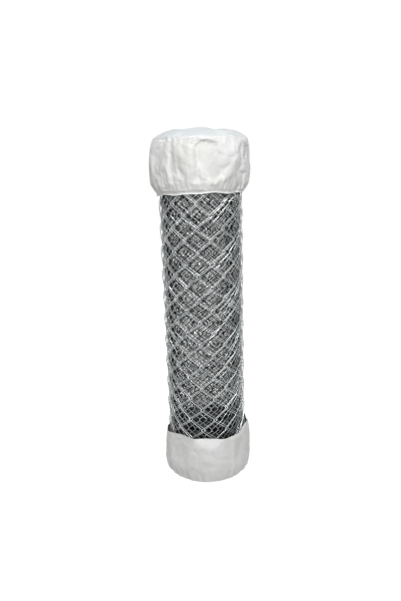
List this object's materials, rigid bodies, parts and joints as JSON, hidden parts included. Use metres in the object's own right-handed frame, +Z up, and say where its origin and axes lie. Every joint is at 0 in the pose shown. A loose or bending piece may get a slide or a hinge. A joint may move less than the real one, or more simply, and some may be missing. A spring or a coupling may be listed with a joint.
{
  "type": "roll of chain link fencing",
  "caption": "Standing roll of galvanised chain link fencing, its interlocked wire pickets wound in a spiral, with white plastic film wrapped over both ends.",
  "frame": {"origin": "centre of the base, where the roll's axis meets the floor", "axes": "+Z up along the roll's axis; -Y is the side that the picture shows as the front"},
  "size_m": [0.5632, 0.5632, 2.0743],
  "materials": {
    "galvanised_wire": "dull zinc coating",
    "tie_wire": "soft annealed wire",
    "wrap_film": "soft satin film"
  },
  "bodies": {
    "root": {"bottom_wrap": "wrap_film", "inner_turn": "galvanised_wire", "picket_01": "galvanised_wire", "picket_02": "galvanised_wire", "picket_03": "galvanised_wire", "picket_04": "galvanised_wire", "picket_05": "galvanised_wire", "picket_06": "galvanised_wire", "picket_07": "galvanised_wire", "picket_08": "galvanised_wire", "picket_09": "galvanised_wire", "picket_10": "galvanised_wire", "picket_11": "galvanised_wire", "picket_12": "galvanised_wire", "picket_13": "galvanised_wire", "picket_14": "galvanised_wire", "picket_15": "galvanised_wire", "picket_16": "galvanised_wire", "picket_17": "galvanised_wire", "picket_18": "galvanised_wire", "picket_19": "galvanised_wire", "picket_20": "galvanised_wire", "tie_wire": "tie_wire", "top_wrap": "wrap_film"}
  },
  "joints": []
}
